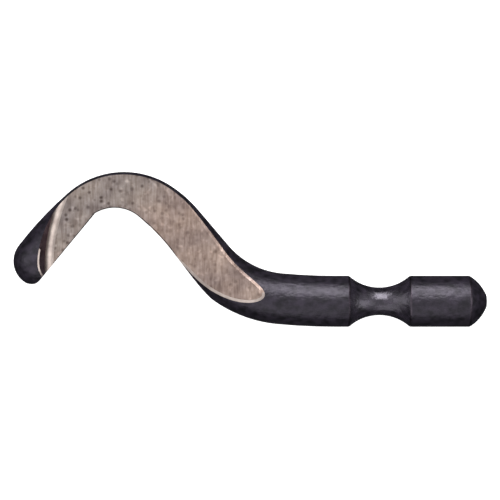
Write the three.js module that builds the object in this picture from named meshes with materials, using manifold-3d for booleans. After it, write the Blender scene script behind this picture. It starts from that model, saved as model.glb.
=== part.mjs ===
// Hook-shaped swivel blade for a deburring handle, ground from one bar of high speed steel.
//
// It is made here in the order of the real work: a round blank is turned straight, with a groove
// for the handle's retaining ball, then bent into a hook, then ground flat on its upper side and
// relieved along the inside of the hook. It is one piece of steel, so the group holds one mesh.
//
// Millimetres. +X runs along the shank towards its butt end, +Y from the shank towards the crown
// of the hook, and +Z up, out of the ground face. The blade lies on its round back, with the origin
// under the middle of its bounding box.

import * as THREE from "three";
import { mergeVertices } from "three/addons/utils/BufferGeometryUtils.js";
import Module from "manifold-3d";

// Turned blank. Lengths run from the butt end.
const BAR_RADIUS = 1.6;
const NOSE_LENGTH = 1.06; // the turned point of the butt end
const NOSE_FLAT_RADIUS = 0.35;
const NOSE_CURVE_RADIUS = 2.6;
const REAR_LAND = 3.75;
const GROOVE_WIDTH = 3.8;
const GROOVE_DEPTH = 0.73;
const FRONT_LAND = 0.83;
const POINT_LENGTH = 1.6; // the round point at the tip of the hook

// Bends, from the shank to the tip, as [radius, angle, side]. A radius of 0 is a straight stretch,
// with its length in place of the angle. Side 1 turns left on the way to the tip, and -1 right.
const BENDS = [
  [38, 5.3, -1],
  [6.6, 44.3, -1],
  [0, 2.92, 1],
  [6.4, 16.5, 1],
  [3.75, 74.4, 1],
  [21.6, 11.1, 1],
];

// Ground face: flat over the hook, then curving up out of the bar towards the shank. Towards the
// tip it ends at a step, a stretch of the round rim that the grinding wheel leaves.
const FACE_HEIGHT = 0.74; // above the bar's axis
const RUN_OUT_START = [-20.6, 7.0];
const RUN_OUT_RADIUS = 45;
const RUN_OUT_LEAN = 22; // degrees from +Y towards +X
const RIM_CENTRE = [-15.4, 2.0];
const RIM_RADIUS = 12; // at the foot of the step
const STEP_SLOPE = 55; // degrees above the ground face

// Relief along the inside of the hook. Its edge is the cutting edge, given at the ground face's
// height as a start, a heading, then [radius, angle, side] as for the bends.
const RELIEF_ANGLE = 12;
const RELIEF_START = [-17.2, -0.08];
const RELIEF_HEADING = 127.3;
const RELIEF_CROWN = [
  [0, 4.05, 1],
  [12.1, 14.6, 1],
  [2.33, 69.3, 1],
];
const RELIEF_CORNER = 19.2; // degrees, where the crown's relief meets the arm's
const RELIEF_ARM = [
  [0, 5.4, 1],
  [0.85, 48, -1],
  [0, 2, 1],
];

// Fineness of the faceted surfaces.
const SIDES = 48;
const BEND_STEP = 6; // degrees of bend between two rings
const EDGE_STEP = 5; // degrees between two points of the relief's edge
const ROUND_STEPS = 8;
const GROOVE_STEPS = 12;
const RUN_OUT_STEPS = 14;
const RIM_SIDES = 180;
const CLEAR = 1; // how far each cutting solid stands outside the bar

const radians = THREE.MathUtils.degToRad;

// A plane curve of straight stretches and arcs that meet smoothly, followed by length.
class Walk {
  constructor(start, heading, legs) {
    this.legs = [];
    let at = new THREE.Vector2(...start);
    let facing = radians(heading);
    for (const [radius, amount, side] of legs) {
      const length = radius ? radius * radians(amount) : amount;
      const curvature = radius ? side / radius : 0;
      const leg = { at, facing, length, curvature };
      this.legs.push(leg);
      ({ at, facing } = Walk.along(leg, length));
    }
    this.length = this.legs.reduce((sum, leg) => sum + leg.length, 0);
    this.endHeading = THREE.MathUtils.radToDeg(facing);
  }

  static along({ at, facing, curvature }, distance) {
    const turned = facing + curvature * distance;
    const step = curvature
      ? new THREE.Vector2(
          (Math.sin(turned) - Math.sin(facing)) / curvature,
          (Math.cos(facing) - Math.cos(turned)) / curvature,
        )
      : new THREE.Vector2(Math.cos(facing), Math.sin(facing)).multiplyScalar(distance);
    return { at: at.clone().add(step), facing: turned };
  }

  // The place and heading at a distance from the start. Past the end the walk runs on straight.
  pointAt(distance) {
    let left = distance;
    for (const leg of this.legs) {
      if (left <= leg.length) return Walk.along(leg, left);
      left -= leg.length;
    }
    const last = this.legs[this.legs.length - 1];
    const end = Walk.along(last, last.length);
    return Walk.along({ ...end, curvature: 0 }, left);
  }

  // Distances that follow each leg in steps of at most so many degrees.
  stations(step) {
    const found = [0];
    let sum = 0;
    for (const { length, curvature } of this.legs) {
      const turn = THREE.MathUtils.radToDeg(Math.abs(curvature) * length);
      const parts = Math.max(1, Math.ceil(turn / step));
      for (let i = 1; i <= parts; i++) found.push(sum + (length * i) / parts);
      sum += length;
    }
    return found;
  }
}

const wasm = await Module();
wasm.setup();

function solidOf(geometry) {
  const bare = geometry.clone();
  bare.deleteAttribute("normal");
  bare.deleteAttribute("uv");
  const merged = mergeVertices(bare, 1e-4);
  const vertProperties = merged.attributes.position.array;
  const triVerts = new Uint32Array(merged.index.array);
  return new wasm.Manifold(new wasm.Mesh({ numProp: 3, vertProperties, triVerts }));
}

function geometryOf(solid) {
  const { vertProperties, triVerts } = solid.getMesh();
  const geometry = new THREE.BufferGeometry();
  geometry.setAttribute("position", new THREE.BufferAttribute(vertProperties, 3));
  geometry.setIndex(new THREE.BufferAttribute(triVerts, 1));
  geometry.computeVertexNormals();
  return geometry;
}

const shankLength = NOSE_LENGTH + REAR_LAND + GROOVE_WIDTH + FRONT_LAND;
const axis = new Walk([0, 0], 180, [[0, shankLength, 1], ...BENDS]);

// The blank's outline as points of (radius, distance from the butt end).
function blankProfile() {
  const points = [new THREE.Vector2(0, 0)];

  // the butt end's nose bulges a little over the straight line from its flat to the bar
  const chord = new THREE.Vector2(BAR_RADIUS - NOSE_FLAT_RADIUS, NOSE_LENGTH);
  const reach = chord.length() / 2;
  const bulge = NOSE_CURVE_RADIUS - Math.sqrt(NOSE_CURVE_RADIUS ** 2 - reach ** 2);
  const outward = new THREE.Vector2(chord.y, -chord.x).normalize();
  for (let i = 0; i <= ROUND_STEPS; i++) {
    const t = i / ROUND_STEPS;
    const point = new THREE.Vector2(NOSE_FLAT_RADIUS, 0).addScaledVector(chord, t);
    points.push(point.addScaledVector(outward, bulge * 4 * t * (1 - t)));
  }

  // the groove is an arc of a circle whose ends meet the bar's surface
  const grooveStart = NOSE_LENGTH + REAR_LAND;
  const half = GROOVE_WIDTH / 2;
  const grooveRadius = (half ** 2 + GROOVE_DEPTH ** 2) / (2 * GROOVE_DEPTH);
  for (let i = 0; i <= GROOVE_STEPS; i++) {
    const offset = half * ((2 * i) / GROOVE_STEPS - 1);
    const rise = grooveRadius - Math.sqrt(grooveRadius ** 2 - offset ** 2);
    const radius = BAR_RADIUS - GROOVE_DEPTH + rise;
    points.push(new THREE.Vector2(radius, grooveStart + half + offset));
  }

  // rings follow the bends, from the front land on
  const [, ...bendStations] = axis.stations(BEND_STEP);
  for (const station of bendStations) points.push(new THREE.Vector2(BAR_RADIUS, station));

  for (let i = 1; i <= ROUND_STEPS; i++) {
    const t = ((i / ROUND_STEPS) * Math.PI) / 2;
    const radius = i < ROUND_STEPS ? BAR_RADIUS * Math.cos(t) : 0;
    points.push(new THREE.Vector2(radius, axis.length + POINT_LENGTH * Math.sin(t)));
  }
  return points;
}

// The straight blank, bent so that its own axis follows the hook's.
function bentBlank() {
  const lathe = new THREE.LatheGeometry(blankProfile(), SIDES);
  const position = lathe.getAttribute("position");
  for (let i = 0; i < position.count; i++) {
    const { at, facing } = axis.pointAt(position.getY(i));
    const sideways = position.getX(i);
    const x = at.x + Math.sin(facing) * sideways;
    const y = at.y - Math.cos(facing) * sideways;
    position.setXYZ(i, x, y, position.getZ(i));
  }
  return solidOf(lathe);
}

// What is ground off above the face: the space over its run-out, as far as the wheel's rim.
function faceCut() {
  const top = BAR_RADIUS + CLEAR;
  const rise = top - FACE_HEIGHT;
  const runOut = Math.sqrt(2 * RUN_OUT_RADIUS * rise);
  const outline = new THREE.Shape();
  outline.moveTo(-2 * RIM_RADIUS, FACE_HEIGHT);
  for (let i = 0; i <= RUN_OUT_STEPS; i++) {
    const run = (runOut * i) / RUN_OUT_STEPS;
    outline.lineTo(run, FACE_HEIGHT + run ** 2 / (2 * RUN_OUT_RADIUS));
  }
  outline.lineTo(-2 * RIM_RADIUS, top);
  const span = 4 * RIM_RADIUS;
  const overFace = new THREE.ExtrudeGeometry(outline, { depth: span, bevelEnabled: false });
  overFace.translate(0, 0, -span / 2);
  overFace.rotateX(Math.PI / 2);
  overFace.rotateZ(-radians(RUN_OUT_LEAN));
  overFace.translate(...RUN_OUT_START, 0);

  const wheel = new THREE.LatheGeometry(
    [
      new THREE.Vector2(0, FACE_HEIGHT - CLEAR),
      new THREE.Vector2(RIM_RADIUS - CLEAR / Math.tan(radians(STEP_SLOPE)), FACE_HEIGHT - CLEAR),
      new THREE.Vector2(RIM_RADIUS + rise / Math.tan(radians(STEP_SLOPE)), top),
      new THREE.Vector2(0, top),
    ],
    RIM_SIDES,
  );
  wheel.rotateX(Math.PI / 2);
  wheel.translate(...RIM_CENTRE, 0);
  return solidOf(overFace).intersect(solidOf(wheel));
}

// The cutting edge as points, each with the outward normal that the relief slopes along.
function reliefEdge() {
  const crown = new Walk(RELIEF_START, RELIEF_HEADING, RELIEF_CROWN);
  const corner = crown.pointAt(crown.length).at;
  const armHeading = crown.endHeading + RELIEF_CORNER;
  const arm = new Walk([corner.x, corner.y], armHeading, RELIEF_ARM);
  const points = [];
  for (const walk of [crown, arm]) {
    const stations = walk.stations(EDGE_STEP);
    if (walk === crown) stations.pop(); // the arm starts with the corner's point
    for (const station of stations) {
      const { at, facing } = walk.pointAt(station);
      const bisecting = walk === arm && station === 0;
      const turn = bisecting ? radians(RELIEF_CORNER) / 2 : 0;
      const normal = new THREE.Vector2(Math.sin(facing - turn), -Math.cos(facing - turn));
      points.push({ at, normal: normal.divideScalar(Math.cos(turn)) });
    }
  }
  return points;
}

// The solid that leaves the relief: upright above the cutting edge, and flaring out below it.
function reliefCut() {
  const edge = reliefEdge();
  const slope = Math.tan(radians(RELIEF_ANGLE));
  const below = -BAR_RADIUS - 3 * CLEAR; // clear of the shank, in the plane of the hook
  const first = edge[0].at;
  const last = edge[edge.length - 1].at;

  const ring = (height) => {
    const flare = Math.max(0, FACE_HEIGHT - height) * slope;
    const points = edge.map(({ at, normal }) => at.clone().addScaledVector(normal, flare));
    points.push(new THREE.Vector2(last.x - CLEAR, below));
    points.push(new THREE.Vector2(first.x, below));
    return points.map(({ x, y }) => new THREE.Vector3(x, y, height));
  };
  const rings = [-BAR_RADIUS - CLEAR, FACE_HEIGHT, BAR_RADIUS + CLEAR].map(ring);
  const count = rings[0].length;
  const top = (rings.length - 1) * count;
  const outline = rings[0].map(({ x, y }) => new THREE.Vector2(x, y));
  const index = [];
  for (const [a, b, c] of THREE.ShapeUtils.triangulateShape(outline, [])) {
    index.push(a, c, b);
    index.push(top + a, top + b, top + c);
  }
  for (let base = 0; base < top; base += count) {
    for (let i = 0; i < count; i++) {
      const next = (i + 1) % count;
      index.push(base + i, base + next, base + count + next);
      index.push(base + i, base + count + next, base + count + i);
    }
  }
  const cut = new THREE.BufferGeometry();
  cut.setFromPoints(rings.flat());
  cut.setIndex(index);
  return solidOf(cut);
}

function blade() {
  const ground = bentBlank().subtract(faceCut()).subtract(reliefCut());
  const geometry = geometryOf(ground);
  const steel = new THREE.MeshStandardMaterial({
    color: 0x3d393f, // black oxide on high speed steel
    roughness: 0.45,
    metalness: 0.7,
  });
  const mesh = new THREE.Mesh(geometry, steel);
  mesh.name = "hook_blade";
  return mesh;
}

const part = new THREE.Group();
part.add(blade());
const box = new THREE.Box3().setFromObject(part);
const middle = box.getCenter(new THREE.Vector3());
part.position.set(-middle.x, -middle.y, -box.min.z);

export default part;
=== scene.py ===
"""A hook-shaped swivel blade for a deburring handle, lying on its round back on a pale table.

The blade is turned, bent and ground here as the real one is. It is modelled in millimetres about
the butt end of its shank, with the hook towards -X, then shrunk to metres and laid where the
frame's own blade lies.
"""

import math

import bpy
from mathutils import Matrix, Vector


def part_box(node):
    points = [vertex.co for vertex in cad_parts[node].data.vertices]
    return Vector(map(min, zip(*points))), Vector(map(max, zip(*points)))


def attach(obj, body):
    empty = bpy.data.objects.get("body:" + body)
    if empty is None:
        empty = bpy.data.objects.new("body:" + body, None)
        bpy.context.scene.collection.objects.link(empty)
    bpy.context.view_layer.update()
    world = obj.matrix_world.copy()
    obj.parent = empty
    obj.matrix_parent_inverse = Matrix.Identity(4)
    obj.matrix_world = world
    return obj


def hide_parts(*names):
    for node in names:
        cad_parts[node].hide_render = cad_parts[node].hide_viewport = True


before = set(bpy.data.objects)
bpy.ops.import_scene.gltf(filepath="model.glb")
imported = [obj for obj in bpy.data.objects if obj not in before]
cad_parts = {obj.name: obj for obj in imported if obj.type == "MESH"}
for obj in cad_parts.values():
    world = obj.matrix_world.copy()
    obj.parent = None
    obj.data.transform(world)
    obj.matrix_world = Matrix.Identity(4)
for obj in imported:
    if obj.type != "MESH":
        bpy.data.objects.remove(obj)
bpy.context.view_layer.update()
blade_low, blade_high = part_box("hook_blade")

MM = 0.001

# The turned blank, in millimetres from the butt end.
BAR_RADIUS = 1.6
NOSE_LENGTH = 1.06
NOSE_FLAT_RADIUS = 0.35
NOSE_CURVE_RADIUS = 2.6
REAR_LAND = 3.75
GROOVE_WIDTH = 3.8
GROOVE_DEPTH = 0.73
FRONT_LAND = 0.83
POINT_LENGTH = 1.6
TURNED_CORNER = 0.07  # the rounding of the turned corners

GROOVE_START = NOSE_LENGTH + REAR_LAND
GROOVE_END = GROOVE_START + GROOVE_WIDTH

# The bends as (radius, degrees, side), and a straight stretch as (0, length, 0). Side 1 turns left
# on the way from the shank to the tip.
BENDS = [
    (38, 5.3, -1),
    (6.6, 44.3, -1),
    (0, 2.92, 0),
    (6.4, 16.5, 1),
    (3.75, 74.4, 1),
    (21.6, 11.1, 1),
]

# The ground face above the bar's axis, and its run-out, which leans from +Y towards +X.
FACE_HEIGHT = 0.74
RUN_OUT_START = (-20.6, 7.0)
RUN_OUT_RADIUS = 45
RUN_OUT_LEAN = 22
RUN_OUT_LENGTH = 15

# The wheel's round rim, which ends the ground face in a shoulder behind the tip.
RIM_CENTRE = (-15.4, 2.0)
RIM_RADIUS = 12
RIM_SLOPE = 55
RIM_ROUNDING = 0.32
WHEEL_BACK = 2 * RIM_RADIUS  # how far the wheel's path reaches back from the run-out
WHEEL_WIDTH = 4 * RIM_RADIUS

# The relief, as its cutting edge at the ground face's height. Its legs are written as the bends.
RELIEF_ANGLE = 12
RELIEF_START = (-17.2, -0.08)
RELIEF_HEADING = 127.3
RELIEF_LEGS = [
    (0, 4.05, 0),
    (12.1, 14.6, 1),
    (2.33, 69.3, 1),
    (0, 19.2, 1),
    (0, 5.4, 0),
    (0.85, 48, -1),
    (0, 2, 0),
]

# The wheel's first pass leaves a little to take off, and its corner is stoned. The finishing pass
# leaves the metal sooner, so the stoned corner stays along the tongue.
FIRST_PASS_BACK = 3
STONED_WIDTH = 0.17
STONED_DROP = 0.07
LEFT_TO_FINISH = 0.01
STONED_FROM = 3.7  # how far along the run-out the finishing pass leaves the metal
HONED_EDGE = 0.075

# The rub along the top of the shoulder's wall, up to RUB_END in Y, and how far it is pushed over.
RUB_WIDTH = 0.09
RUB_STEP = (0.05, 0, 0.03)
RUB_END = 3.3

# Faces are told apart by how far their normals point a way: up for a level face, the shoulder's
# fillet and the rub, hardly up for the relief's wall, and towards the crown for the upper rim.
LEVEL = 0.9
FILLET_UP = 0.6
RUB_UP = 0.75
UPRIGHT = 0.1
CROWNWARD = 0.1

# The materials' places in the blade's slots.
OXIDE, GROUND, BARE, TURNED, TINTED, WORN = range(6)

# How finely the round surfaces are divided.
BAR_SIDES = 112
BEND_STEP = 2.5
ROUND_STEPS = 18
GROOVE_STEPS = 32
RUN_OUT_STEPS = 40
RIM_SIDES = 720
ROUNDING_STEPS = 8
CORNER_STEPS = 3
SHARP_ANGLE = 20  # degrees between two faces that are shaded apart

CLEAR = 1.0  # how far each cutting solid stands outside the bar
NEAR = 0.01  # places closer than this are the same place
DOUBLES = 0.0005  # vertices that the cutter's outline repeats are closer than this
SLIVER = 0.006  # the shortest edge that a cut leaves
HONED_SLIVER = 0.015  # the shortest edge that the honing can run over
SORTED_FROM = (-30, -20, -8)  # off the blade's symmetry, so that distances from it set an order

# The camera: a long lens straight above the middle of the picture. Its sensor is in millimetres.
LENS = 200
SENSOR = 36
PICTURE_WIDTH = 31.3
PICTURE_MIDDLE = -0.04

# The table and the soft boxes, in metres and watts. A box is (name, direction from the blade,
# width, height, power).
TABLE_SIZE = 1.2
TABLE_GLOW = 0.9
LIGHT_DISTANCE = 0.4
LIGHTS = [
    ("key", (0, 0.72, 0.69), 0.2, 0.34, 1.25),
    ("fill", (-0.25, -0.75, 0.6), 0.35, 0.3, 0.22),
    ("side", (0.66, -0.2, 0.72), 0.25, 0.25, 0.27),
    ("tip light", (-0.8, 0.1, 0.6), 0.3, 0.3, 0.28),
]

# The studio's brightness by height: a dark floor, then walls that grow paler up to the ceiling.
FLOOR_TONE = (0.04, 0.04, 0.045, 1)
CEILING_TONE = (0.6, 0.6, 0.6, 1)
WALL_TONES = [
    (0.25, (0.12, 0.12, 0.12, 1)),
    (0.55, (0.5, 0.5, 0.5, 1)),
    (0.8, CEILING_TONE),
]

# The Mix node's colour sockets, by place, since their names are shared by its other sockets.
MIX_FACTOR, MIX_A, MIX_B, MIX_RESULT = 0, 6, 7, 2
FIRST, SECOND = 0, 1


def make_camera():
    distance = PICTURE_WIDTH * MM * LENS / SENSOR
    bpy.ops.object.camera_add(
        location=(0, PICTURE_MIDDLE * MM, BAR_RADIUS * MM + distance),
        rotation=(0, 0, 0),
    )
    camera = bpy.context.object
    camera.data.lens = LENS
    camera.data.sensor_width = SENSOR
    camera.data.clip_start = MM
    bpy.context.scene.camera = camera


def deselect():
    bpy.ops.object.select_all(action="DESELECT")


def edit(piece, mode):
    """Opens one piece's mesh for editing vertices, edges or faces, with nothing selected."""
    deselect()
    bpy.context.view_layer.objects.active = piece
    piece.select_set(True)
    bpy.ops.object.mode_set(mode="EDIT")
    bpy.ops.mesh.select_mode(type=mode)
    bpy.ops.mesh.select_all(action="DESELECT")


def leave_edit():
    bpy.ops.object.mode_set(mode="OBJECT")


def open_with(piece, mode, wanted):
    """Opens the mesh with the vertices, edges or faces selected for which wanted(element) holds."""
    edit(piece, mode)
    leave_edit()
    mesh = piece.data
    elements = {"VERT": mesh.vertices, "EDGE": mesh.edges, "FACE": mesh.polygons}[mode]
    for element in elements:
        element.select = wanted(element)
    bpy.ops.object.mode_set(mode="EDIT")


def ends(piece, edge):
    return [piece.data.vertices[i].co for i in edge.vertices]


def settle(piece):
    """Puts the piece's own place, turn and scale into its mesh."""
    deselect()
    piece.select_set(True)
    bpy.ops.object.transform_apply(location=True, rotation=True, scale=True)


def close_up():
    """Turns every face of the mesh in edit mode outwards, and leaves edit mode."""
    bpy.ops.mesh.select_all(action="SELECT")
    bpy.ops.mesh.normals_make_consistent(inside=False)
    leave_edit()


class Travel:
    """Draws the selected section of a mesh out along straight stretches and arcs, seen from +Z."""

    def __init__(self, start, heading):
        self.at = Vector((*start, 0))
        self.heading = math.radians(heading)

    def ahead(self):
        return Vector((math.cos(self.heading), math.sin(self.heading), 0))

    def left(self):
        return Vector((-math.sin(self.heading), math.cos(self.heading), 0))

    def straight(self, length):
        step = self.ahead() * length
        bpy.ops.mesh.extrude_region_move(TRANSFORM_OT_translate={"value": step})
        self.at += step

    def resize(self, factor):
        bpy.ops.transform.resize(value=(factor, factor, factor), center_override=self.at)

    def bend(self, radius, degrees, side):
        """Follows an arc. The spin's angle runs clockwise about +Z."""
        turn = math.radians(degrees) * side
        centre = self.at + self.left() * radius * side
        bpy.ops.mesh.spin(
            steps=math.ceil(degrees / BEND_STEP),
            angle=-turn,
            center=centre,
            axis=(0, 0, 1),
            use_auto_merge=False,
        )
        self.heading += turn
        self.at = centre - self.left() * radius * side

    def follow(self, legs):
        for radius, amount, side in legs:
            if side:
                self.bend(radius, amount, side)
            else:
                self.straight(amount)


def turned_profile():
    """The blank's outline from the nose's flat to the front land, as (distance, radius)."""
    points = []
    chord = Vector((NOSE_LENGTH, BAR_RADIUS - NOSE_FLAT_RADIUS))
    bulge = NOSE_CURVE_RADIUS - math.sqrt(NOSE_CURVE_RADIUS**2 - (chord.length / 2) ** 2)
    outward = Vector((-chord.y, chord.x)).normalized()
    for i in range(ROUND_STEPS + 1):
        t = i / ROUND_STEPS
        point = Vector((0, NOSE_FLAT_RADIUS)) + chord * t + outward * bulge * 4 * t * (1 - t)
        points.append((point.x, point.y))
    half = GROOVE_WIDTH / 2
    groove_radius = (half**2 + GROOVE_DEPTH**2) / (2 * GROOVE_DEPTH)
    for i in range(GROOVE_STEPS + 1):
        offset = half * (2 * i / GROOVE_STEPS - 1)
        rise = groove_radius - math.sqrt(groove_radius**2 - offset**2)
        points.append((GROOVE_START + half + offset, BAR_RADIUS - GROOVE_DEPTH + rise))
    points.append((GROOVE_END + FRONT_LAND, BAR_RADIUS))
    return points


def draw_the_point(travel):
    """Draws the bar's end in to a closed round point."""
    reached = 0
    radius = BAR_RADIUS
    for i in range(1, ROUND_STEPS):
        turn = i / ROUND_STEPS * math.pi / 2
        travel.straight(POINT_LENGTH * math.sin(turn) - reached)
        travel.resize(BAR_RADIUS * math.cos(turn) / radius)
        reached = POINT_LENGTH * math.sin(turn)
        radius = BAR_RADIUS * math.cos(turn)
    travel.straight(POINT_LENGTH - reached)
    bpy.ops.mesh.merge(type="CENTER")


def finish_as(piece, material, wanted):
    """Gives a material to the faces for which wanted(face) holds."""
    for face in piece.data.polygons:
        if wanted(face):
            face.material_index = material


def turn_and_bend(materials):
    """The round blank, drawn out from the butt end's flat and bent into the hook."""
    deselect()
    bpy.ops.mesh.primitive_circle_add(
        vertices=BAR_SIDES,
        radius=NOSE_FLAT_RADIUS,
        fill_type="NGON",
        rotation=(0, math.radians(90), 0),
    )
    bar = bpy.context.object
    bar.name = "blade"
    for material in materials:
        bar.data.materials.append(material)
    settle(bar)
    edit(bar, "FACE")
    bpy.ops.mesh.select_all(action="SELECT")
    travel = Travel((0, 0), 180)
    profile = turned_profile()
    for (before, old), (distance, radius) in zip(profile, profile[1:]):
        travel.straight(distance - before)
        travel.resize(radius / old)
    travel.follow(BENDS)
    draw_the_point(travel)
    leave_edit()

    finish_as(bar, TURNED, lambda face: GROOVE_START < -face.center.x < GROOVE_END)

    def on_corner(edge):
        corners = (NOSE_LENGTH, GROOVE_START, GROOVE_END)
        return any(all(abs(end.x + c) < NEAR for end in ends(bar, edge)) for c in corners)

    open_with(bar, "EDGE", on_corner)
    bpy.ops.mesh.bevel(
        offset=TURNED_CORNER, segments=CORNER_STEPS, affect="EDGES", material=WORN
    )
    close_up()
    return bar


def wheel_rim():
    """All that the grinding wheel's rim takes in: a disc with a sloping side and a rounded foot."""
    rise = BAR_RADIUS + CLEAR - FACE_HEIGHT
    deselect()
    bpy.ops.mesh.primitive_cone_add(
        vertices=RIM_SIDES,
        radius1=RIM_RADIUS,
        radius2=RIM_RADIUS + rise / math.tan(math.radians(RIM_SLOPE)),
        depth=rise,
        location=(*RIM_CENTRE, FACE_HEIGHT + rise / 2),
    )
    rim = bpy.context.object
    settle(rim)

    def on_foot(edge):
        return all(end.z < FACE_HEIGHT + NEAR for end in ends(rim, edge))

    open_with(rim, "EDGE", on_foot)
    bpy.ops.mesh.bevel(offset=RIM_ROUNDING, segments=ROUNDING_STEPS, affect="EDGES")
    leave_edit()
    return rim


def wheel_path(height, back, run_out_radius):
    """The space that the wheel sweeps: a block over the flat, curving up at the run-out."""
    rise = BAR_RADIUS + CLEAR - height
    lean = math.radians(RUN_OUT_LEAN)
    across = Vector((math.cos(lean), -math.sin(lean), 0))
    along = Vector((math.sin(lean), math.cos(lean), 0))
    deselect()
    bpy.ops.mesh.primitive_plane_add(
        size=1,
        location=(*RUN_OUT_START, height + rise / 2),
        rotation=(0, math.radians(90), -lean),
    )
    path = bpy.context.object
    path.scale = (rise, WHEEL_WIDTH, 1)
    settle(path)
    edit(path, "FACE")
    bpy.ops.mesh.select_all(action="SELECT")
    bpy.ops.mesh.extrude_region_move(TRANSFORM_OT_translate={"value": -across * back})
    leave_edit()

    def at_run_out(face):
        start = Vector((*RUN_OUT_START, face.center.z))
        return abs((face.center - start).dot(across)) < NEAR

    open_with(path, "FACE", at_run_out)
    bpy.ops.mesh.spin(
        steps=RUN_OUT_STEPS,
        angle=math.asin(RUN_OUT_LENGTH / run_out_radius),
        center=(*RUN_OUT_START, height + run_out_radius),
        axis=along,
        use_auto_merge=False,
    )
    close_up()
    return path


def relief_cutter():
    """What is ground out of the inside of the hook: upright, and flaring below the cutting edge."""
    rise = BAR_RADIUS + CLEAR - FACE_HEIGHT
    drop = BAR_RADIUS + CLEAR + FACE_HEIGHT
    flare = drop * math.tan(math.radians(RELIEF_ANGLE))
    start = Vector(RELIEF_START)
    middle = Vector((start.x + rise / 2, start.y, FACE_HEIGHT + rise / 2))
    deselect()
    bpy.ops.mesh.primitive_plane_add(
        size=rise,
        location=middle,
        rotation=(math.radians(90), 0, 0),
    )
    cutter = bpy.context.object
    settle(cutter)

    # only the plane's upright side over the start is kept, and drawn down and outwards
    open_with(cutter, "VERT", lambda vertex: vertex.co.x > middle.x)
    bpy.ops.mesh.delete(type="VERT")
    leave_edit()
    open_with(cutter, "VERT", lambda vertex: vertex.co.z < middle.z)
    travel = Travel(RELIEF_START, RELIEF_HEADING)
    outwards = -travel.left() * flare - Vector((0, 0, drop))
    bpy.ops.mesh.extrude_region_move(TRANSFORM_OT_translate={"value": outwards})
    bpy.ops.mesh.select_all(action="SELECT")
    travel.follow(RELIEF_LEGS)
    bpy.ops.mesh.select_all(action="SELECT")
    bpy.ops.mesh.remove_doubles(threshold=DOUBLES)
    leave_edit()

    # the two ends are joined across the mouth of the hook, then the top and bottom are closed
    finish = travel.at.copy()

    def on_an_end(edge):
        low, high = ends(cutter, edge)
        upright = abs(low.z - high.z) > NEAR
        return upright and any(
            max((low.xy - corner.xy).length, (high.xy - corner.xy).length) < flare + NEAR
            for corner in (start, finish)
        )

    open_with(cutter, "EDGE", on_an_end)
    bpy.ops.mesh.bridge_edge_loops()
    bpy.ops.mesh.select_all(action="DESELECT")
    bpy.ops.mesh.select_non_manifold()
    bpy.ops.mesh.fill_holes(sides=0)
    close_up()
    return cutter


def linear(hex_colour):
    """The linear colour of an sRGB hex value."""
    channels = (int(hex_colour[i : i + 2], 16) / 255 for i in (0, 2, 4))
    return tuple(c / 12.92 if c <= 0.04045 else ((c + 0.055) / 1.055) ** 2.4 for c in channels) + (1,)


def add_node(tree, kind, inputs=(), **settings):
    """Adds a node with its settings. inputs gives a socket a value, or links another node's output."""
    made = tree.nodes.new(kind)
    for name, value in settings.items():
        setattr(made, name, value)
    for socket, value in dict(inputs).items():
        if isinstance(value, bpy.types.NodeSocket):
            tree.links.new(value, made.inputs[socket])
        else:
            made.inputs[socket].default_value = value
    return made


def per_metre(size):
    """The noise scale that gives features of a size in millimetres, on Object coordinates."""
    return 1 / (size * MM)


def new_material(name, values):
    """A material whose shader has the given values, with its node tree and its shader."""
    material = bpy.data.materials.new(name)
    material.use_nodes = True
    tree = material.node_tree
    tree.nodes.clear()
    shader = add_node(tree, "ShaderNodeBsdfPrincipled", values)
    add_node(tree, "ShaderNodeOutputMaterial", {"Surface": shader.outputs["BSDF"]})
    return material, tree, shader


def clouded_tone(tree, vector, size, detail, stops):
    """A tone that wanders between two stops (noise value, hex colour) over a size in millimetres."""
    noise = add_node(
        tree,
        "ShaderNodeTexNoise",
        {"Vector": vector, "Scale": per_metre(size), "Detail": detail},
    )
    tone = add_node(tree, "ShaderNodeValToRGB", {"Fac": noise.outputs["Fac"]})
    for element, (position, colour) in zip(tone.color_ramp.elements, stops):
        element.position = position
        element.color = linear(colour)
    return tone.outputs["Color"]


def black_oxide(name, smoothest, roughest, ior):
    """Hot black oxide on high speed steel, oiled: a near-black satin skin with a violet cast, cloudy
    and faintly streaked along the bar. Where it lies thin on a turned surface it is glossier."""
    cloud_size = 0.5
    grain_size = 0.2
    grain_along = (0.5, 1.0, 1.0)  # the grain is twice as long along the shank
    grain_height = 0.03
    material, tree, shader = new_material(name, {"IOR": ior, "Specular Tint": linear("f6eeff")})
    place = add_node(tree, "ShaderNodeTexCoord").outputs["Object"]
    tone = clouded_tone(tree, place, cloud_size, 4.0, [(0.35, "111014"), (0.65, "2f2a34")])
    along = add_node(tree, "ShaderNodeMapping", {"Vector": place, "Scale": grain_along})
    grain = add_node(
        tree,
        "ShaderNodeTexNoise",
        {"Vector": along.outputs["Vector"], "Scale": per_metre(grain_size), "Detail": 4.0},
    )
    gloss = add_node(
        tree,
        "ShaderNodeMapRange",
        {
            "Value": grain.outputs["Fac"],
            "From Min": 0.3,
            "From Max": 0.7,
            "To Min": smoothest,
            "To Max": roughest,
        },
    )
    bump = add_node(
        tree,
        "ShaderNodeBump",
        {"Height": grain.outputs["Fac"], "Strength": 1.0, "Distance": grain_height * MM},
    )
    tree.links.new(tone, shader.inputs["Base Color"])
    tree.links.new(gloss.outputs["Result"], shader.inputs["Roughness"])
    tree.links.new(bump.outputs["Normal"], shader.inputs["Normal"])
    return material


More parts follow.
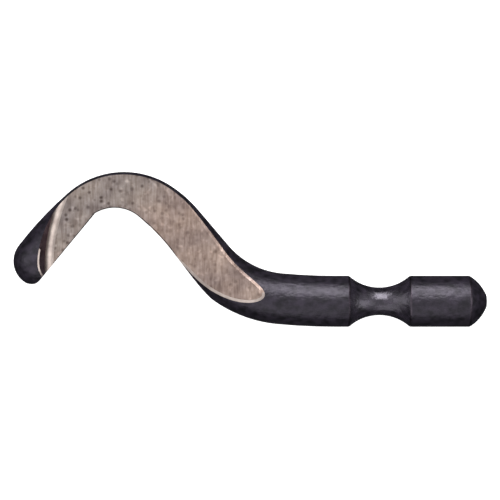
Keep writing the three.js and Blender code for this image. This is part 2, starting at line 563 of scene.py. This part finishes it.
def ground_steel():
    """Surface-ground high speed steel, as the wheel left it: a satin beige grey, browner on the slope
    than over the crown, mottled, with small dark pits, bright grains and faint wheel marks."""
    material, tree, shader = new_material("surface_ground_steel", {"Metallic": 1.0, "Roughness": 0.42})
    place = add_node(tree, "ShaderNodeTexCoord").outputs["Object"]

    # the crown's tone turns to the slope's over 2.2 mm, across a line through the hook
    towards_slope = (0.584, -0.812, 0)
    crown_ends = -7.2
    slope_begins = -5.0
    across = add_node(
        tree,
        "ShaderNodeVectorMath",
        {FIRST: place, SECOND: towards_slope},
        operation="DOT_PRODUCT",
    )
    side = add_node(
        tree,
        "ShaderNodeMapRange",
        {
            "Value": across.outputs["Value"],
            "From Min": crown_ends * MM,
            "From Max": slope_begins * MM,
        },
    )
    tint = add_node(
        tree,
        "ShaderNodeMix",
        {MIX_FACTOR: side.outputs["Result"], MIX_A: linear("d6c8c0"), MIX_B: linear("e2cabd")},
        data_type="RGBA",
    )

    patch_size = 2.2
    mottle_size = 0.45
    grain_size = 0.36
    patches = clouded_tone(tree, place, patch_size, 3.0, [(0.35, "d6d6dc"), (0.65, "ffffff")])
    mottle = clouded_tone(tree, place, mottle_size, 3.0, [(0.3, "d6d2cf"), (0.7, "ffffff")])
    grains = clouded_tone(tree, place, grain_size, 1.0, [(0.6, "dcdcdc"), (0.75, "ffffff")])

    # the pits are crowded in places, and fainter on the slope. Real ones are finer than this, and
    # are drawn as coarse as they need to show.
    pit_spacing = 0.4
    crowd_size = 2.0
    pit = add_node(tree, "ShaderNodeTexVoronoi", {"Vector": place, "Scale": per_metre(pit_spacing)})
    crowd = add_node(
        tree,
        "ShaderNodeTexNoise",
        {"Vector": place, "Scale": per_metre(crowd_size), "Detail": 1.0},
    )
    crowded = add_node(
        tree,
        "ShaderNodeMapRange",
        {
            "Value": crowd.outputs["Fac"],
            "From Min": 0.4,
            "From Max": 0.6,
            "To Min": 0.5,
            "To Max": 0.9,
        },
    )
    fainter = add_node(
        tree,
        "ShaderNodeMapRange",
        {"Value": side.outputs["Result"], "To Min": 1.0, "To Max": 0.5},
    )
    deepest = add_node(
        tree,
        "ShaderNodeMath",
        {FIRST: crowded.outputs["Result"], SECOND: fainter.outputs["Result"]},
        operation="MULTIPLY",
    )
    depth = add_node(
        tree,
        "ShaderNodeMapRange",
        {
            "Value": pit.outputs["Distance"],
            "From Min": 0.14,
            "From Max": 0.38,
            "To Min": deepest.outputs["Value"],
            "To Max": 0.0,
        },
    )
    pits = add_node(
        tree,
        "ShaderNodeMix",
        {MIX_FACTOR: depth.outputs["Result"], MIX_A: grains, MIX_B: linear("6e6460")},
        data_type="RGBA",
    )

    # the wheel's marks are drawn out along Y
    mark_width = 0.14
    mark_shape = (1.0, 0.14, 1.0)
    mark_depth = 0.008
    drawn_out = add_node(tree, "ShaderNodeMapping", {"Vector": place, "Scale": mark_shape})
    marks = clouded_tone(
        tree, drawn_out.outputs["Vector"], mark_width, 2.0, [(0.3, "d9d4d2"), (0.6, "ffffff")]
    )
    bump = add_node(
        tree, "ShaderNodeBump", {"Height": marks, "Strength": 0.4, "Distance": mark_depth * MM}
    )

    base = tint.outputs[MIX_RESULT]
    for layer in (patches, mottle, pits.outputs[MIX_RESULT], marks):
        base = add_node(
            tree,
            "ShaderNodeMix",
            {MIX_FACTOR: 1.0, MIX_A: base, MIX_B: layer},
            data_type="RGBA",
            blend_type="MULTIPLY",
        ).outputs[MIX_RESULT]
    tree.links.new(base, shader.inputs["Base Color"])
    tree.links.new(bump.outputs["Normal"], shader.inputs["Normal"])
    return material


def clouded_steel(name, roughness, cloud_size, stops):
    """Steel of one roughness, whose tone wanders between two stops."""
    material, tree, shader = new_material(name, {"Metallic": 1.0, "Roughness": roughness})
    place = add_node(tree, "ShaderNodeTexCoord").outputs["Object"]
    tone = clouded_tone(tree, place, cloud_size, 3.0, stops)
    tree.links.new(tone, shader.inputs["Base Color"])
    return material


def bare_steel():
    """Bare steel where a corner was stoned or the wheel's round edge rubbed: brighter and smoother."""
    return clouded_steel("stoned_bare_steel", 0.35, 0.5, [(0.3, "aa9c96"), (0.7, "d4c6be")])


def worn_black_oxide():
    """The turned corners, where the oxide has rubbed thin and the steel begins to show grey."""
    return clouded_steel("worn_black_oxide_corner", 0.4, 0.4, [(0.35, "39333b"), (0.65, "5a535c")])


def heat_tinted_steel():
    """The shoulder's wall, which the side of the wheel burnt: steel with a dull mauve heat tint."""
    return clouded_steel("heat_tinted_ground_steel", 0.4, 0.6, [(0.35, "6e5c63"), (0.65, "938088")])


def cut(piece, tool, operation):
    """Applies one boolean cut or intersection, and takes the tool away."""
    modifier = piece.modifiers.new("cut", "BOOLEAN")
    modifier.operation = operation
    modifier.solver = "EXACT"
    modifier.material_mode = "TRANSFER"
    modifier.object = tool
    deselect()
    bpy.context.view_layer.objects.active = piece
    bpy.ops.object.modifier_apply(modifier=modifier.name)
    bpy.data.objects.remove(tool)


def merge_close(blade, distance):
    """Merges the vertices that are closer than a distance. A cut leaves them in no fixed order, so
    they are sorted first, and every run merges them the same way."""
    bpy.context.scene.cursor.location = SORTED_FROM
    edit(blade, "VERT")
    bpy.ops.mesh.select_all(action="SELECT")
    bpy.ops.mesh.sort_elements(type="CURSOR_DISTANCE", elements={"VERT", "EDGE", "FACE"})
    bpy.ops.mesh.remove_doubles(threshold=distance)
    leave_edit()


def grind(blade, wheel):
    """Cuts away what the wheel sweeps, which leaves ground steel on the new faces."""
    wheel.data.materials.clear()
    wheel.data.materials.append(blade.data.materials[GROUND])
    cut(blade, wheel, "DIFFERENCE")
    merge_close(blade, SLIVER)


def finishing_radius():
    """The finishing pass's run-out radius, which rises through the stoned face at STONED_FROM."""
    above = LEFT_TO_FINISH + STONED_DROP
    return 1 / (1 / RUN_OUT_RADIUS + 2 * above / STONED_FROM**2)


def is_ground(face):
    return face.material_index == GROUND


def grind_the_top(blade):
    """Grinds the top in two passes. Between them the corner is stoned: the face is drawn in and
    lifted, no higher than the bar, which leaves a sloping rim around it."""
    grind(blade, wheel_path(FACE_HEIGHT + LEFT_TO_FINISH, FIRST_PASS_BACK, RUN_OUT_RADIUS))
    open_with(blade, "FACE", lambda face: is_ground(face) and face.normal.z > LEVEL)
    bpy.ops.mesh.inset(thickness=STONED_WIDTH)
    bpy.ops.transform.translate(value=(0, 0, STONED_DROP))
    leave_edit()
    for vertex in blade.data.vertices:
        vertex.co.z = min(vertex.co.z, BAR_RADIUS)

    def on_lower_rim(face):
        return is_ground(face) and not face.select and face.normal.y < CROWNWARD

    finish_as(blade, BARE, on_lower_rim)

    wheel = wheel_rim()
    cut(wheel, wheel_path(FACE_HEIGHT, WHEEL_BACK, finishing_radius()), "INTERSECT")
    grind(blade, wheel)

    def on_shoulder(face):
        out = (face.center.xy - Vector(RIM_CENTRE)).length
        return is_ground(face) and out > RIM_RADIUS - RIM_ROUNDING

    finish_as(blade, TINTED, lambda face: on_shoulder(face) and face.normal.z <= FILLET_UP)
    finish_as(blade, BARE, on_shoulder)


def rub_the_shoulder(blade):
    """Slopes the top of the shoulder's wall back, where it rubs the work."""
    open_with(blade, "FACE", lambda face: face.material_index == TINTED and face.center.y < RUB_END)
    bpy.ops.mesh.inset(thickness=RUB_WIDTH)
    bpy.ops.transform.translate(value=RUB_STEP)
    leave_edit()

    def on_rub(face):
        return face.material_index == TINTED and not face.select and face.normal.z > RUB_UP

    finish_as(blade, BARE, on_rub)


def hone(blade):
    """Bevels the cutting edge, where the top face and the relief meet."""
    merge_close(blade, HONED_SLIVER)
    tops = set()
    sides = set()
    for face in filter(is_ground, blade.data.polygons):
        if face.normal.z > LEVEL:
            tops.update(face.edge_keys)
        if face.normal.z < UPRIGHT:
            sides.update(face.edge_keys)
    open_with(blade, "EDGE", lambda edge: edge.key in tops and edge.key in sides)
    bpy.ops.mesh.bevel(offset=HONED_EDGE, segments=1, affect="EDGES", clamp_overlap=False)
    leave_edit()


def lay_down(blade):
    """Shrinks the blade to metres and puts its butt end and back where the frame's blade has them."""
    edit(blade, "VERT")
    bpy.ops.mesh.select_all(action="SELECT")
    bpy.ops.transform.resize(value=(MM, MM, MM), center_override=(0, 0, 0))
    corner = Vector((0, -BAR_RADIUS, -BAR_RADIUS)) * MM
    target = Vector((blade_high.x, blade_low.y, blade_low.z))
    bpy.ops.transform.translate(value=target - corner)
    leave_edit()


def shade(blade):
    """Shades the round surfaces smooth, and keeps the flat faces flat up to their edges."""
    deselect()
    blade.select_set(True)
    bpy.context.view_layer.objects.active = blade
    bpy.ops.object.shade_smooth_by_angle(angle=math.radians(SHARP_ANGLE))
    flat = blade.modifiers.new("flat faces stay flat", "WEIGHTED_NORMAL")
    flat.keep_sharp = True
    bpy.ops.object.modifier_apply(modifier=flat.name)


def make_blade():
    drawn = black_oxide("black_oxide_drawn_steel", smoothest=0.28, roughest=0.44, ior=1.5)
    turned = black_oxide("black_oxide_turned_steel", smoothest=0.2, roughest=0.32, ior=1.8)
    blade = turn_and_bend(
        (drawn, ground_steel(), bare_steel(), turned, heat_tinted_steel(), worn_black_oxide())
    )
    grind_the_top(blade)
    grind(blade, relief_cutter())
    rub_the_shoulder(blade)
    hone(blade)
    lay_down(blade)
    shade(blade)
    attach(blade, "root")
    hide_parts("hook_blade")


def make_table():
    """An opal acrylic light table, lit from below: an even white ground with no shadow."""
    deselect()
    bpy.ops.mesh.primitive_plane_add(size=TABLE_SIZE, location=(0, 0, blade_low.z))
    table = bpy.context.object
    table.name = "table"
    material, _, _ = new_material(
        "lit_white_acrylic",
        {
            "Base Color": linear("f2f2f2"),
            "Roughness": 0.9,
            "Emission Color": linear("ffffff"),
            "Emission Strength": TABLE_GLOW,
        },
    )
    table.data.materials.append(material)
    table.visible_glossy = False
    table.visible_diffuse = False


def add_light(name, direction, width, height, power):
    """A soft box facing the blade from a direction."""
    towards = Vector(direction)
    bpy.ops.object.light_add(type="AREA", location=towards.normalized() * LIGHT_DISTANCE)
    light = bpy.context.object
    light.name = name
    light.rotation_euler = towards.to_track_quat("Z", "Y").to_euler()
    light.data.shape = "RECTANGLE"
    light.data.size = width
    light.data.size_y = height
    light.data.energy = power


def light_the_studio():
    scene = bpy.context.scene
    scene.view_settings.view_transform = "Standard"
    world = bpy.data.worlds.new("studio")
    scene.world = world
    world.use_nodes = True
    tree = world.node_tree
    tree.nodes.clear()
    direction = add_node(tree, "ShaderNodeTexCoord").outputs["Generated"]
    height = add_node(tree, "ShaderNodeSeparateXYZ", {"Vector": direction}).outputs["Z"]
    sky = add_node(tree, "ShaderNodeValToRGB", {"Fac": height})
    tones = sky.color_ramp.elements
    tones[0].color = FLOOR_TONE
    tones[-1].color = CEILING_TONE
    for position, tone in WALL_TONES:
        tones.new(position).color = tone
    background = add_node(tree, "ShaderNodeBackground", {"Color": sky.outputs["Color"]})
    add_node(tree, "ShaderNodeOutputWorld", {"Surface": background.outputs["Background"]})
    for light in LIGHTS:
        add_light(*light)


make_camera()
make_blade()
make_table()
light_the_studio()
